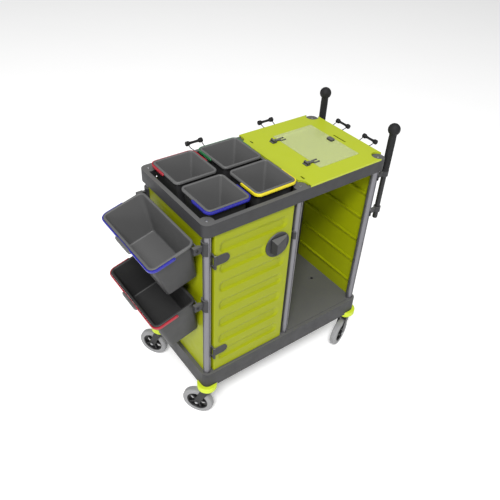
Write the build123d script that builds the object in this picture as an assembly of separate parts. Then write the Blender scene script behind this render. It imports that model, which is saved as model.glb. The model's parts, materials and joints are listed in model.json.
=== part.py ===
from build123d import *

import os

# Housekeeping cart. X runs along the cart, from the hanging buckets to the push handles.
# Y runs from the door side to the back. Z is up, and the floor is Z = 0.
# The pieces are first placed from the front left post's axis, and the finished set is then
# moved so that the origin is on the floor, midway along and across the whole cart.

# ---- Frame ----
POST_SPAN = 880.0            # left post axis to right post axis
POST_DEPTH = 437.0           # front post axis to back post axis
POST_R = 17.0
POST_BORE_R = 12.5
POST_GROOVE_W = 6.0
POST_GROOVE_D = 2.5
SOCKET_DEPTH = 40.0          # how far a post goes into each tray
FIT = 0.05                   # radial clearance of a fixed fit
RUN = 0.08                   # radial clearance of a running fit
GAP = 0.3                    # between bodies that rest on each other
MID = POST_SPAN / 2

# ---- Trays ----
TRAY_EDGE = 29.0             # post axis to the outer face of both trays
BASE_BOTTOM = 212.0
BASE_DECK = 303.0
BASE_WALL = 5.0
DRAIN_R = 8.0
DRAIN_LENGTH = 50.0
DRAIN_AT = (809.0, 214.0)
DECK_RAISE = 1.5             # the open bay's floor stands this much above the rest of the deck
TRAY_BOTTOM = 1074.5
TRAY_H = 55.5
TRAY_TOP = TRAY_BOTTOM + TRAY_H
TRAY_RIM = 18.0
TRAY_WALL = 3.0
MID_BAR = (-2.0, 14.0)       # the tray's cross bar, either side of the middle post axis

# ---- Casters ----
WHEEL_R = 75.0
WHEEL_W = 32.0
TYRE_BORE_R = 52.0
HUB_RIM = 7.0
HUB_BOSS_R = 13.0
SPOKES = 5
TRAIL = 45.0
STEM_R = 6.0
AXLE_R = 4.0
FORK_LEG = 4.5
FORK_GAP = 2.0
CROWN_BOTTOM = 157.0
CROWN_TOP = 177.0
BUMPER_R = 46.0
BUMPER_BOTTOM = 178.0
BUMPER_RECESS = 10.0
CASTER_HEADINGS = {"front_left": 125.0, "back_left": 121.0, "front_right": 200.0, "back_right": 110.0}

# ---- Panels ----
PANEL_T = 5.0
PANEL_OUT = 12.0             # post axis to an end panel's outer face
RAIL_PITCH = 132.0
RAIL_TOP = TRAY_BOTTOM - 141.5
RAIL_LOWEST = BASE_DECK + 90.0
RAIL_COUNT = 1 + int((RAIL_TOP - RAIL_LOWEST) / RAIL_PITCH)
RAIL_FIRST = RAIL_TOP - (RAIL_COUNT - 1) * RAIL_PITCH
RAIL_D = 10.0
RAIL_H = 26.0
RAIL_LIP = 6.0               # upright front of a rail
RAIL_SLOPE = 2.0             # how far a rail's top slopes down to its front
PARTITION_T = 6.0
RIB_PITCH = 101.3
RIB_FIRST = BASE_DECK + 35.0
RIB_H = 56.0
RIB_D = 3.5
RIB_CORNER = 14.0
RIB_SLOPE = 50.0             # draft of a rib's edges, in degrees
BACK_PANEL_T = 4.0
BACK_FACE = POST_DEPTH + 3.0

# ---- Door ----
DOOR_LEFT = 23.0             # post axis to the door's hinge edge
DOOR_RIGHT_GAP = 37.0        # door's free edge to the middle post axis
DOOR_FACE = -15.0
DOOR_T = 18.0
DOOR_SKIN = 4.0
DOOR_BOTTOM_GAP = 3.0
DOOR_TOP_GAP = 4.0
HINGE_AXIS = (21.0, -25.0)   # from the front left post axis
HINGE_Z = (BASE_DECK + 125.0, TRAY_BOTTOM - 130.5)
HINGE_LUG = 9.0
HINGE_PIN_R = 3.0
STRAP_L = 70.0
STRAP_H = 44.0
STRAP_T = 3.5
KNOB_X = 329.0
KNOB_Z = TRAY_BOTTOM - 176.5
ESCUTCHEON_R = 60.0
ESCUTCHEON_T = 6.0
SPINDLE_R = 5.0
KNOB_OUT = 26.0
KNOB_UP = 40.0
KNOB_DOWN = 32.0
KNOB_SLOPE = 18.0
CAM_L = 86.0

# ---- Top cover and its clear flap ----
COVER_TOP = TRAY_TOP + 9.0
COVER_LEFT = 10.0            # middle post axis to the cover's left edge
COVER_PLATE = 3.5
COVER_SKIRT = 3.0
FLAP_X = (592.0, 818.0)
FLAP_Y = (55.0, 376.0)
FLAP_T = 3.0
FLAP_LAP = 8.0
FLAP_HINGE_X = 561.0
FLAP_HINGE_Y = (107.0, 333.0)
FLAP_AXIS_Z = COVER_TOP + 8.0
FLAP_PIN_R = 2.0

# ---- Small buckets ----
SMALL_RIM = (193.0, 198.0)
SMALL_PITCH = (221.0, 221.0)
SMALL_FIRST = (105.5, 105.5)
SMALL_RIM_Z = TRAY_TOP + 32.0
SMALL_CORNER = 14.0
SMALL_TAPER = 13.0
SMALL_COLOURS = (("blue", 0, 0), ("yellow", 1, 0), ("red", 0, 1), ("green", 1, 1))
SHELF_T = 4.0

# ---- Hanging buckets ----
LARGE_RIM = (197.0, 412.0)
LARGE_DEPTH = 196.0
LARGE_TILT = 16.0
LARGE_X = -136.0
LARGE_PITCH = 292.0          # one hanging bucket's rim down to the next
LARGE_Z = {"upper": TRAY_BOTTOM - 59.5, "lower": TRAY_BOTTOM - 59.5 - LARGE_PITCH}
LARGE_CORNER = 20.0
LARGE_TAPER = 19.0
HOOK_LIP = 12.0
HANGER_T = 2.4
HANGER_FOOT = 24.0           # rim's top to the hanger bar's lower edge

# ---- All buckets ----
RIM_W = 8.0
RIM_FLANGE = 3.0
RIM_T = 10.0
BUCKET_WALL = 2.5
BAIL_GAP = 0.8
BAIL_T = 5.0
BAIL_H = 12.0
STUD_R = 3.0

# ---- Push handles ----
BAR_OUT = 68.0               # right post axis to the push bar's axis
BAR_R = 12.0
BAR_BOTTOM = TRAY_BOTTOM - 288.5
GRIP_R = 17.0
GRIP_BOTTOM = TRAY_BOTTOM - 28.5
BALL_R = 27.0
BALL_Z = TRAY_BOTTOM + 169.5
CLAMP_Z = (TRAY_BOTTOM - 236.5, TRAY_BOTTOM - 43.5)
CLAMP_H = 26.0
COLLAR_SIDE = 7.0            # a collar stays this far to its post's outer side

# ---- Mop handle holders ----
HOLDER_REACH = 75.0
HOLDER_RISE = 12.0
HOLDER_BACK_X = (275.0, 670.0)
HOLDER_RIGHT_Y = (142.0, 320.0)
HOLDER_FOOT = 52.0
HOLDER_KNOBS = 68.0
KNOB_END_R = 11.0
WAIST_R = 6.5
WIRE_R = 2.0


def block(x0, x1, y0, y1, z0, z1):
    """A box between two corners."""
    size = (x1 - x0, y1 - y0, z1 - z0)
    centre = ((x0 + x1) / 2, (y0 + y1) / 2, (z0 + z1) / 2)
    return Pos(*centre) * Box(*size)


def rod_z(x, y, z0, z1, r):
    return Pos(x, y, (z0 + z1) / 2) * Cylinder(r, z1 - z0)


def rod_y(x, z, y0, y1, r):
    return Pos(x, (y0 + y1) / 2, z) * Rot(90, 0, 0) * Cylinder(r, y1 - y0)


def slab(x0, x1, y0, y1, r, z0, z1):
    """A plate with rounded upright corners."""
    outline = Pos((x0 + x1) / 2, (y0 + y1) / 2, z0) * RectangleRounded(x1 - x0, y1 - y0, r)
    return extrude(outline, z1 - z0)


def tray_slab(z0, z1, inset=0.0):
    """The outline that both trays share, brought in by an inset."""
    edge = TRAY_EDGE - inset
    return slab(-edge, POST_SPAN + edge, -edge, POST_DEPTH + edge, edge, z0, z1)


def posts_at():
    """Every post axis, left to right on each side."""
    return [(x, y) for y in (0.0, POST_DEPTH) for x in (0.0, MID, POST_SPAN)]


def corners_at():
    """The four corner post axes by name."""
    return {
        "front_left": (0.0, 0.0),
        "front_right": (POST_SPAN, 0.0),
        "back_left": (0.0, POST_DEPTH),
        "back_right": (POST_SPAN, POST_DEPTH),
    }


def outer_side(shape, x, y):
    """Cut a corner post's collar back to the cart's end, clear of the panels that meet the post."""
    box = shape.bounding_box()
    z0 = box.min.Z - 1
    z1 = box.max.Z + 1
    far = 40.0
    face = PANEL_OUT + GAP
    x0, x1 = (-face, far) if x == 0 else (POST_SPAN - far, POST_SPAN + face)
    y0, y1 = (-4.0, far) if y == 0 else (POST_DEPTH - far, BACK_FACE + GAP)
    shape -= block(x0, x1, y0, y1, z0, z1)
    inner0, inner1 = (-COLLAR_SIDE, far) if x == 0 else (POST_SPAN - far, POST_SPAN + COLLAR_SIDE)
    return shape - block(inner0, inner1, y - far, y + far, z0, z1)


def less_posts(shape, radius, z0, z1):
    """Cut a clearance round every post."""
    for x, y in posts_at():
        shape -= rod_z(x, y, z0, z1, radius)
    return shape


# ---- Frame pieces ----

def base_tray():
    tray = tray_slab(BASE_BOTTOM, BASE_DECK)
    tray -= tray_slab(BASE_BOTTOM, BASE_DECK - BASE_WALL, BASE_WALL)
    inner = TRAY_EDGE - BASE_WALL
    depth = BASE_DECK - 45.0
    for x, y in posts_at():
        tray += rod_z(x, y, BASE_BOTTOM + BUMPER_RECESS, BASE_DECK - 1, POST_R + 6)
    for share in (0.25, 0.5, 0.75):
        x = POST_SPAN * share
        tray += block(x - 2, x + 2, -inner - 1, POST_DEPTH + inner + 1, depth, BASE_DECK - 1)
    tray += block(-inner - 1, POST_SPAN + inner + 1, POST_DEPTH / 2 - 2, POST_DEPTH / 2 + 2, depth, BASE_DECK - 1)
    for x, y in corners_at().values():
        tray -= rod_z(x, y, BASE_BOTTOM - 1, BASE_BOTTOM + BUMPER_RECESS, BUMPER_R + 2)
        pad = rod_z(x, y, BASE_BOTTOM + BUMPER_RECESS, BASE_BOTTOM + BUMPER_RECESS + 4, BUMPER_R + 2)
        tray += pad & tray_slab(BASE_BOTTOM, BASE_DECK)
        tray -= rod_z(x, y, BASE_BOTTOM, BASE_DECK, STEM_R + FIT)
    tray = less_posts(tray, POST_R + FIT, BASE_DECK - SOCKET_DEPTH, BASE_DECK + 1)
    edge = POST_R + 5
    raised = BASE_DECK + DECK_RAISE
    tray += slab(MID + edge, POST_SPAN - edge, -12, POST_DEPTH - edge, 6.0, BASE_DECK - 1, raised)
    tray += rod_z(*DRAIN_AT, BASE_DECK - DRAIN_LENGTH, BASE_DECK - 1, DRAIN_R + 3)
    tray -= rod_z(*DRAIN_AT, BASE_BOTTOM, raised + 1, DRAIN_R)
    return tray


def tray_opening(x0, x1):
    """One of the top tray's two openings, through its full height."""
    y0 = -TRAY_EDGE + TRAY_RIM
    return slab(x0, x1, y0, POST_DEPTH - y0, 12.0, TRAY_BOTTOM - 1, TRAY_TOP + 1)


def top_tray():
    tray = tray_slab(TRAY_BOTTOM, TRAY_TOP)
    inner = TRAY_EDGE - TRAY_RIM
    roof = TRAY_TOP - 4.0
    channel = tray_slab(TRAY_BOTTOM, roof, TRAY_WALL) - tray_slab(TRAY_BOTTOM, roof, TRAY_RIM - TRAY_WALL)
    tray -= channel
    tray -= tray_opening(-inner, MID + MID_BAR[0])
    tray -= tray_opening(MID + MID_BAR[1], POST_SPAN + inner)
    for x, y in posts_at():
        tray += rod_z(x, y, TRAY_BOTTOM, TRAY_TOP, TRAY_EDGE)
    tray = less_posts(tray, POST_R + FIT, TRAY_BOTTOM - 1, TRAY_BOTTOM + SOCKET_DEPTH)
    for x, y in posts_at():
        tray -= rod_z(x, y, TRAY_BOTTOM, TRAY_TOP + 1, 3.2)
    return tray


def post_profile(x, y):
    """One grooved post, standing in both trays' sockets."""
    z0 = BASE_DECK - SOCKET_DEPTH
    z1 = TRAY_BOTTOM + SOCKET_DEPTH
    post = rod_z(x, y, z0, z1, POST_R) - rod_z(x, y, z0, z1, POST_BORE_R)
    for turn in range(4):
        groove = block(POST_R - POST_GROOVE_D, POST_R + 1, -POST_GROOVE_W / 2, POST_GROOVE_W / 2, z0, z1)
        post -= Pos(x, y, 0) * Rot(0, 0, 90 * turn) * groove
    return post


def rails(x, towards):
    """Runner rails that face along X from a panel face, all the way from front to back."""
    shapes = []
    for i in range(RAIL_COUNT):
        z = RAIL_FIRST + i * RAIL_PITCH
        points = [(0, -RAIL_H), (RAIL_D, -RAIL_SLOPE - RAIL_LIP), (RAIL_D, -RAIL_SLOPE), (0, 0)]
        outline = Polyline(*[(x + towards * (u - 0.5), 0, z + v) for u, v in points], close=True)
        face = Pos(0, POST_R + 10, 0) * make_face(outline)
        shapes.append(extrude(face, POST_DEPTH - 2 * POST_R - 20, dir=(0, 1, 0)))
    return shapes


def upright_panel(x0, x1):
    """A flat panel between a front and a back post, shaped round both of them."""
    panel = block(x0, x1, 6, POST_DEPTH - 6, BASE_DECK, TRAY_BOTTOM)
    return less_posts(panel, POST_R + GAP, BASE_DECK - 1, TRAY_BOTTOM + 1)


def left_end_panel():
    panel = upright_panel(-PANEL_OUT, -PANEL_OUT + PANEL_T)
    return Compound(children=[panel]).solids()[0].fuse(*rails(-PANEL_OUT + PANEL_T, 1))


def right_end_panel():
    outer = POST_SPAN + PANEL_OUT
    panel = upright_panel(outer - PANEL_T, outer)
    return panel.solids()[0].fuse(*rails(outer - PANEL_T, -1))


def middle_partition():
    half = PARTITION_T / 2
    panel = upright_panel(MID - half, MID + half)
    return panel.solids()[0].fuse(*rails(MID + half, 1), *rails(MID - half, -1))


def rib_count(first):
    """How many ribs at the pitch fit under the top tray, from a first one."""
    return 1 + int((TRAY_BOTTOM - RIB_H / 2 - first) / RIB_PITCH)


def rib(x0, x1, z, y, towards):
    """One shallow raised rib on an upright face, with sloping edges."""
    outline = RectangleRounded(x1 - x0, RIB_H, RIB_CORNER)
    raised = extrude(outline, RIB_D, taper=RIB_SLOPE)
    return Pos((x0 + x1) / 2, y, z) * Rot(90 * -towards, 0, 0) * raised


def back_panel(left):
    """A back panel between two posts, ribbed on the outside."""
    x0 = left + POST_R + GAP
    x1 = left + MID - POST_R - GAP
    y = BACK_FACE
    panel = block(x0, x1, y - BACK_PANEL_T, y, BASE_DECK, TRAY_BOTTOM)
    first = RIB_FIRST + RIB_PITCH / 2
    for i in range(rib_count(first)):
        panel += rib(x0 + 20, x1 - 20, first + i * RIB_PITCH, y, 1)
    return panel


def bucket_shelf():
    """A shelf on the top pair of rails, under the small buckets."""
    z = RAIL_TOP
    side = 2.0
    x0 = -PANEL_OUT + PANEL_T + side
    x1 = MID - PARTITION_T / 2 - side
    y0 = DOOR_FACE + DOOR_T + POST_R
    y1 = POST_DEPTH - POST_R - 2 * side
    return less_posts(block(x0, x1, y0, y1, z, z + SHELF_T), POST_R + 1, z - 1, z + SHELF_T + 1)


# ---- Door ----

def door_edges():
    x0 = DOOR_LEFT
    x1 = MID - DOOR_RIGHT_GAP
    return x0, x1, BASE_DECK + DOOR_BOTTOM_GAP, TRAY_BOTTOM - DOOR_TOP_GAP


def door_panel():
    x0, x1, z0, z1 = door_edges()
    back = DOOR_FACE + DOOR_T
    door = block(x0, x1, DOOR_FACE, back, z0, z1)
    door -= block(x0 + 4, x1 - 4, DOOR_FACE + DOOR_SKIN, back + 1, z0 + 4, z1 - 4)
    for i in range(rib_count(RIB_FIRST)):
        door += rib(x0 + 16, x1 - 24, RIB_FIRST + i * RIB_PITCH, DOOR_FACE, -1)
    pad = rod_y(KNOB_X, KNOB_Z, DOOR_FACE - RIB_D, back - 6, ESCUTCHEON_R + 5)
    door += pad & block(x0, x1, DOOR_FACE - RIB_D, back, z0, z1)
    for z in HINGE_Z:
        door += block(x0, x0 + STRAP_L + 4, DOOR_FACE - RIB_D, back - 6, z - STRAP_H / 2 - 3, z + STRAP_H / 2 + 3)
    door -= rod_y(KNOB_X, KNOB_Z, DOOR_FACE - RIB_D - 1, back + 1, SPINDLE_R + RUN)
    return door


def hinge_strap(z):
    """One strap on the door's face, with a barrel round the hinge pin."""
    ax, ay = HINGE_AXIS
    face = DOOR_FACE - RIB_D
    half = STRAP_H / 2
    strap = block(ax, ax + STRAP_L - half, face - STRAP_T, face, z - half, z + half)
    strap += rod_y(ax + STRAP_L - half, z, face - STRAP_T, face, half)
    strap += rod_z(ax, ay, z - half, z + half, HINGE_PIN_R + 3)
    return strap - rod_z(ax, ay, z - half - 1, z + half + 1, HINGE_PIN_R + RUN)


def hinge_bracket(z):
    """The fixed half of a door hinge: a lug above and below the strap, on a spine beside the post."""
    ax, ay = HINGE_AXIS
    half = STRAP_H / 2 + 0.5
    low = z - half - HINGE_LUG
    high = z + half + HINGE_LUG
    side = DOOR_LEFT - 1.0
    bracket = block(POST_R - 5, side, -7, 3, low, high)
    for z0 in (low, high - HINGE_LUG):
        bracket += block(ax - 5, side, ay, -6, z0, z0 + HINGE_LUG)
        bracket += rod_z(ax, ay, z0, z0 + HINGE_LUG, HINGE_PIN_R + 3)
    bracket -= rod_z(0, 0, low - 1, high + 1, POST_R + FIT)
    return bracket - rod_z(ax, ay, low - 1, high + 1, HINGE_PIN_R + FIT)


def hinge_pin(z):
    ax, ay = HINGE_AXIS
    reach = STRAP_H / 2 + HINGE_LUG + 0.5
    pin = rod_z(ax, ay, z - reach, z + reach, HINGE_PIN_R)
    return pin + rod_z(ax, ay, z + reach, z + reach + 2.5, HINGE_PIN_R + 2)


def door_escutcheon():
    face = DOOR_FACE - RIB_D
    disc = rod_y(KNOB_X, KNOB_Z, face - ESCUTCHEON_T, face, ESCUTCHEON_R)
    front = disc.faces().sort_by(Axis.Y)[0]
    disc = fillet(front.edges(), 2.0)
    notch = rod_y(KNOB_X + 48, KNOB_Z - 26, face - ESCUTCHEON_T - 1, face - 2, 9.0)
    disc -= notch
    return disc - rod_y(KNOB_X, KNOB_Z, face - ESCUTCHEON_T - 1, face + 1, SPINDLE_R + RUN)


def door_knob():
    """A wedge grip that turns on the escutcheon, with its spindle through the door."""
    seat = DOOR_FACE - RIB_D - ESCUTCHEON_T - GAP
    points = [(-36, 0), (46, 0), (34, -10), (-22, -KNOB_OUT)]
    outline = make_face(Polyline(*points, close=True))
    wedge = Pos(KNOB_X, seat, KNOB_Z - KNOB_DOWN) * extrude(outline, KNOB_DOWN + KNOB_UP)
    slope = [(0, -KNOB_DOWN), (0, KNOB_UP), (-KNOB_OUT, KNOB_UP - KNOB_SLOPE), (-KNOB_OUT, -KNOB_DOWN)]
    side = Plane.YZ * make_face(Polyline(*slope, close=True))
    wedge &= Pos(KNOB_X, seat, KNOB_Z) * extrude(side, ESCUTCHEON_R, both=True)
    back = DOOR_FACE + DOOR_T
    spindle = rod_y(KNOB_X, KNOB_Z, seat - 2, back + 8, SPINDLE_R)
    return wedge + spindle


def latch_cam():
    """The bar on the spindle's inner end. It hangs down when the door is free to open."""
    back = DOOR_FACE + DOOR_T + 2
    cam = block(KNOB_X - 8, KNOB_X + 8, back, back + 4, KNOB_Z - CAM_L, KNOB_Z + 10)
    return cam - rod_y(KNOB_X, KNOB_Z, back - 1, back + 5, SPINDLE_R + FIT)


def door_strike():
    """The catch plate on the middle post that the cam turns in behind."""
    z0 = KNOB_Z - 18
    z1 = KNOB_Z + 18
    collar = rod_z(MID, 0, z0, z1, POST_R + 4) & block(MID - 25, MID - 9, -25, 4, z0, z1)
    tongue = block(MID - DOOR_RIGHT_GAP + 3, MID - POST_R + 1, -1.0, 2.0, z0, z1)
    strike = collar + tongue
    return strike - rod_z(MID, 0, z0 - 1, z1 + 1, POST_R + FIT)


# ---- Top cover ----

def cover_edges():
    return MID + COVER_LEFT, POST_SPAN + TRAY_EDGE, -TRAY_EDGE, POST_DEPTH + TRAY_EDGE


def top_cover():
    x0, x1, y0, y1 = cover_edges()
    low = TRAY_TOP + GAP
    cover = slab(x0, x1, y0, y1, 4.0, low, COVER_TOP)
    cover -= slab(
        x0 + COVER_SKIRT, x1 - COVER_SKIRT, y0 + COVER_SKIRT, y1 - COVER_SKIRT,
        2.0, low - 1, COVER_TOP - COVER_PLATE)
    cover += slab(
        FLAP_X[0] - 12, FLAP_X[1] + 12, FLAP_Y[0] - 12, FLAP_Y[1] + 12,
        8.0, low + 1, COVER_TOP)
    recess = COVER_TOP - FLAP_T
    cover -= slab(*FLAP_X, *FLAP_Y, 5.0, recess, COVER_TOP + 1)
    cover -= slab(
        FLAP_X[0] + FLAP_LAP, FLAP_X[1] - FLAP_LAP, FLAP_Y[0] + FLAP_LAP, FLAP_Y[1] - FLAP_LAP,
        5.0, low, COVER_TOP + 1)
    for x, y in posts_at():
        wide = TRAY_EDGE + 2
        rim = rod_z(x, y, low - 1, COVER_TOP - COVER_PLATE, wide + COVER_SKIRT)
        cover += (rim & slab(x0, x1, y0, y1, 4.0, low, COVER_TOP))
        cover -= rod_z(x, y, low - 1, COVER_TOP + 1, wide)
        side = (y - wide - 9, y) if y == 0 else (y, y + wide + 9)
        cover -= block(x, x + wide, *side, low - 1, COVER_TOP + 1)
    cover -= slab(836.5, 845.5, 165, 248, 4.0, low, COVER_TOP + 1)
    for y in (35.0, POST_DEPTH - 54.0):
        cover -= slab(475, 483, y - 13, y + 13, 3.0, low, COVER_TOP + 1)
    inner = TRAY_EDGE - TRAY_RIM - 2
    for y in (-inner, POST_DEPTH + inner - 3):
        cover += block(MID + 60, POST_SPAN - 60, y, y + 3, TRAY_TOP - 14, COVER_TOP - 1)
    return cover


def clear_flap():
    z0 = COVER_TOP - FLAP_T + GAP
    side = 0.8
    return slab(FLAP_X[0] + side, FLAP_X[1] - side, FLAP_Y[0] + side, FLAP_Y[1] - side, 5.0, z0, z0 + FLAP_T)


def flap_hinge_plate(y):
    """The half of a flap hinge that is fixed to the cover, with an ear on each side."""
    x = FLAP_HINGE_X
    plate = slab(x - 12, x + 12, y - 15, y + 15, 4.0, COVER_TOP, COVER_TOP + 2.5)
    for ear in (y - 13, y + 8.5):
        plate += rod_y(x, FLAP_AXIS_Z, ear, ear + 4.5, 6.0)
        plate += block(x - 6, x + 6, ear, ear + 4.5, COVER_TOP + 1, FLAP_AXIS_Z)
    return plate - rod_y(x, FLAP_AXIS_Z, y - 16, y + 16, FLAP_PIN_R + FIT)


def flap_hinge_leaf(y):
    """The moving half of a flap hinge: a barrel and a forked strap on the flap."""
    x = FLAP_HINGE_X
    top = COVER_TOP + GAP
    leaf = rod_y(x, FLAP_AXIS_Z, y - 8.2, y + 8.2, 5.0)
    leaf += block(x + 1, x + 20, y - 8.2, y + 8.2, FLAP_AXIS_Z - 4.5, FLAP_AXIS_Z - 1)
    leaf += block(x + 12.6, FLAP_X[0] + 8, y - 6, y + 6, top, FLAP_AXIS_Z - 3)
    for side in (-9, 9):
        leaf += slab(FLAP_X[0] + 2, FLAP_X[0] + 34, y + side - 3.5, y + side + 3.5, 3.0, top, top + 2.5)
    leaf += block(FLAP_X[0] + 2, FLAP_X[0] + 8, y - 9, y + 9, top, top + 2.5)
    return leaf - rod_y(x, FLAP_AXIS_Z, y - 9, y + 9, FLAP_PIN_R + RUN)


def flap_hinge_pin(y):
    return rod_y(FLAP_HINGE_X, FLAP_AXIS_Z, y - 13, y + 13, FLAP_PIN_R)


def flap_pull():
    z = COVER_TOP + GAP
    y = (FLAP_Y[0] + FLAP_Y[1]) / 2
    pull = slab(FLAP_X[1] - 34, FLAP_X[1] - 10, y - 17, y + 17, 6.0, z, z + 9)
    return fillet(pull.faces().sort_by(Axis.Z)[-1].edges(), 2.5)


# ---- Buckets, each in its own frame: rim top at Z = 0, mouth upwards ----

def bucket_body(rim, depth, taper, corner):
    """A tapered bucket with a flat rim flange and a stud on both short sides."""
    mouth = (rim[0] - 2 * RIM_W, rim[1] - 2 * RIM_W)
    foot = (mouth[0] - 2 * taper, mouth[1] - 2 * taper)
    foot_corner = corner - 6.0
    outer = loft([
        RectangleRounded(*mouth, corner),
        Pos(0, 0, -depth) * RectangleRounded(*foot, foot_corner),
    ])
    wall = BUCKET_WALL
    inner = loft([
        Pos(0, 0, 1) * RectangleRounded(mouth[0] - 2 * wall, mouth[1] - 2 * wall, corner - wall),
        Pos(0, 0, wall - depth) * RectangleRounded(foot[0] - 2 * wall, foot[1] - 2 * wall, foot_corner - wall),
    ])
    flange = extrude(Pos(0, 0, -RIM_FLANGE) * RectangleRounded(*rim, corner + RIM_W), RIM_FLANGE)
    band = extrude(Pos(0, 0, -RIM_T) * RectangleRounded(*rim, corner + RIM_W), RIM_T)
    lip = 2.0
    hollow = RectangleRounded(rim[0] - 2 * lip, rim[1] - 2 * lip, corner + RIM_W - lip)
    band -= extrude(Pos(0, 0, -RIM_T) * hollow, RIM_T - RIM_FLANGE)
    return (outer + flange + band) - inner


def u_band(span, reach, corner, height, thick):
    """A flat U band round a rim: arms at Y = plus and minus span / 2, leg at X = -reach."""
    outer = Pos(0, 0) * RectangleRounded(2 * reach, span, corner)
    inner = Pos(0, 0) * RectangleRounded(2 * (reach - thick), span - 2 * thick, corner - thick)
    ring = extrude(outer, height / 2, both=True) - extrude(inner, height / 2, both=True)
    ring -= block(0, reach + 1, -span, span, -height, height)
    for side in (-1, 1):
        y = side * (span - thick) / 2
        ring += rod_y(0, 0, y - thick / 2, y + thick / 2, height / 2)
        ring -= rod_y(0, 0, y - thick, y + thick, STUD_R + RUN)
    return ring


def stud_pair(rim_y):
    """The two pivots that a bail turns on, out from the rim's sides."""
    reach = rim_y / 2 + BAIL_GAP + BAIL_T
    studs = []
    for side in (-1, 1):
        near = rim_y / 2 - 2
        y0, y1 = sorted((side * near, side * reach))
        studs.append(rod_y(0, 0, y0, y1, STUD_R))
    return studs


def small_depth():
    shelf_top = RAIL_TOP + SHELF_T
    return SMALL_RIM_Z - shelf_top - GAP


def pivot_drop():
    """From the rim's top down to the bail's pivot."""
    return 2.5 + BAIL_H / 2


def small_place(col, row):
    return Pos(SMALL_FIRST[0] + col * SMALL_PITCH[0], SMALL_FIRST[1] + row * SMALL_PITCH[1], SMALL_RIM_Z)


def small_bucket(col, row):
    body = bucket_body(SMALL_RIM, small_depth(), SMALL_TAPER, SMALL_CORNER)
    turned = Pos(0, 0, -pivot_drop()) * Rot(0, 0, 90)
    for stud in stud_pair(SMALL_RIM[0]):
        body += turned * stud
    return small_place(col, row) * body


def small_bail(col, row):
    """The bail lies round the outer side: the front for the front row, the back for the back row."""
    span = SMALL_RIM[0] + 2 * (BAIL_GAP + BAIL_T)
    reach = SMALL_RIM[1] / 2 + BAIL_GAP + BAIL_T
    band = u_band(span, reach, SMALL_CORNER + RIM_W + BAIL_GAP + BAIL_T, BAIL_H, BAIL_T)
    turn = 90 if row == 0 else -90
    return small_place(col, row) * Pos(0, 0, -pivot_drop()) * Rot(0, 0, turn) * band


def large_place(level):
    """The bucket leans out at the top, so its mouth faces up and away from the cart."""
    return Pos(LARGE_X, POST_DEPTH / 2, LARGE_Z[level]) * Rot(0, -LARGE_TILT, 0)


def large_bucket(level):
    body = bucket_body(LARGE_RIM, LARGE_DEPTH, LARGE_TAPER, LARGE_CORNER)
    for stud in stud_pair(LARGE_RIM[1]):
        body += Pos(0, 0, -pivot_drop()) * stud
    edge = LARGE_RIM[0] / 2
    body += block(edge - 2.2, edge, -LARGE_RIM[1] / 2 + 40, LARGE_RIM[1] / 2 - 40, -HOOK_LIP, -1)
    return large_place(level) * body


def large_bail(level):
    span = LARGE_RIM[1] + 2 * (BAIL_GAP + BAIL_T)
    reach = LARGE_RIM[0] / 2 + BAIL_GAP + BAIL_T
    band = u_band(span, reach, LARGE_CORNER + RIM_W + BAIL_GAP + BAIL_T, BAIL_H, BAIL_T)
    grip = rod_y(-reach - 2.0, 0, -62, 62, 8.0)
    grip -= block(-reach + BAIL_T - 0.2, 20, -70, 70, -20, 20)
    band += grip
    return large_place(level) * Pos(0, 0, -pivot_drop()) * band


def hanger_bar(level):
    """The flat bar that a hanging bucket's rim hooks over, along Y between two brackets."""
    x = LARGE_RIM[0] / 2 - 3 - HANGER_T
    half = POST_DEPTH / 2 - 8
    raised = LARGE_RIM[1] / 2 - 50
    bar = block(x, x + HANGER_T, -half, half, -HANGER_FOOT, -RIM_T - GAP)
    bar += block(x, x + HANGER_T, -raised, raised, -HANGER_FOOT, -RIM_FLANGE - GAP)
    return large_place(level) * bar


def bucket_bracket(level, y):
    """A casting clamped to a left post, with an arm out to the hanger bar's end."""
    z = LARGE_Z[level] - 3
    z0 = z - 30
    z1 = z + 30
    collar = outer_side(rod_z(0, y, z0, z1, POST_R + 6), 0.0, y)
    arm = block(-34, -POST_R, y - 6, y + 6, z - 8, z + 16)
    head = block(-62, -32, y - 8, y + 8, z - 12, z + 18)
    casting = collar + arm + head
    return casting - rod_z(0, y, z0 - 1, z1 + 1, POST_R + FIT)


# ---- Casters, each in its own frame: swivel axis at X = Y = 0, wheel behind it along +X ----

def caster_place(corner):
    x, y = corners_at()[corner]
    return Pos(x, y, 0) * Rot(0, 0, CASTER_HEADINGS[corner])


def caster_stem(corner):
    """The bolt that holds a caster in the base, with its head under the fork's crown."""
    stem = rod_z(0, 0, CROWN_BOTTOM - GAP, BASE_DECK - SOCKET_DEPTH - 6, STEM_R)
    stem += rod_z(0, 0, CROWN_BOTTOM - 8, CROWN_BOTTOM - GAP, STEM_R + 4)
    return caster_place(corner) * stem


def caster_bumper(corner):
    """A stepped round buffer between the base and the fork."""
    top = BASE_BOTTOM + BUMPER_RECESS
    low = BUMPER_BOTTOM
    profile = Polyline(
        (STEM_R + 0.5, low), (30, low), (37, low + 6), (38, low + 13),
        (BUMPER_R - 2, low + 15), (BUMPER_R, low + 19), (BUMPER_R, top - 4), (BUMPER_R - 4, top),
        (STEM_R + 0.5, top), close=True)
    ring = revolve(make_face(Plane.XZ * profile), Axis.Z)
    x, y = corners_at()[corner]
    return Pos(x, y, 0) * ring


def fork_leg(side):
    """One leg of the fork, from the crown down to the axle."""
    inner = WHEEL_W / 2 + FORK_GAP
    low, high = sorted((side * inner, side * (inner + FORK_LEG)))
    points = [(-17, CROWN_TOP - 6), (25, CROWN_TOP - 6), (TRAIL + 12, WHEEL_R + 6), (TRAIL - 12, WHEEL_R - 6)]
    face = make_face(Polyline(*[(x, low, z) for x, z in points], close=True))
    leg = extrude(face, FORK_LEG, dir=(0, 1, 0))
    return leg + rod_y(TRAIL, WHEEL_R, low, high, 13.5)


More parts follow.
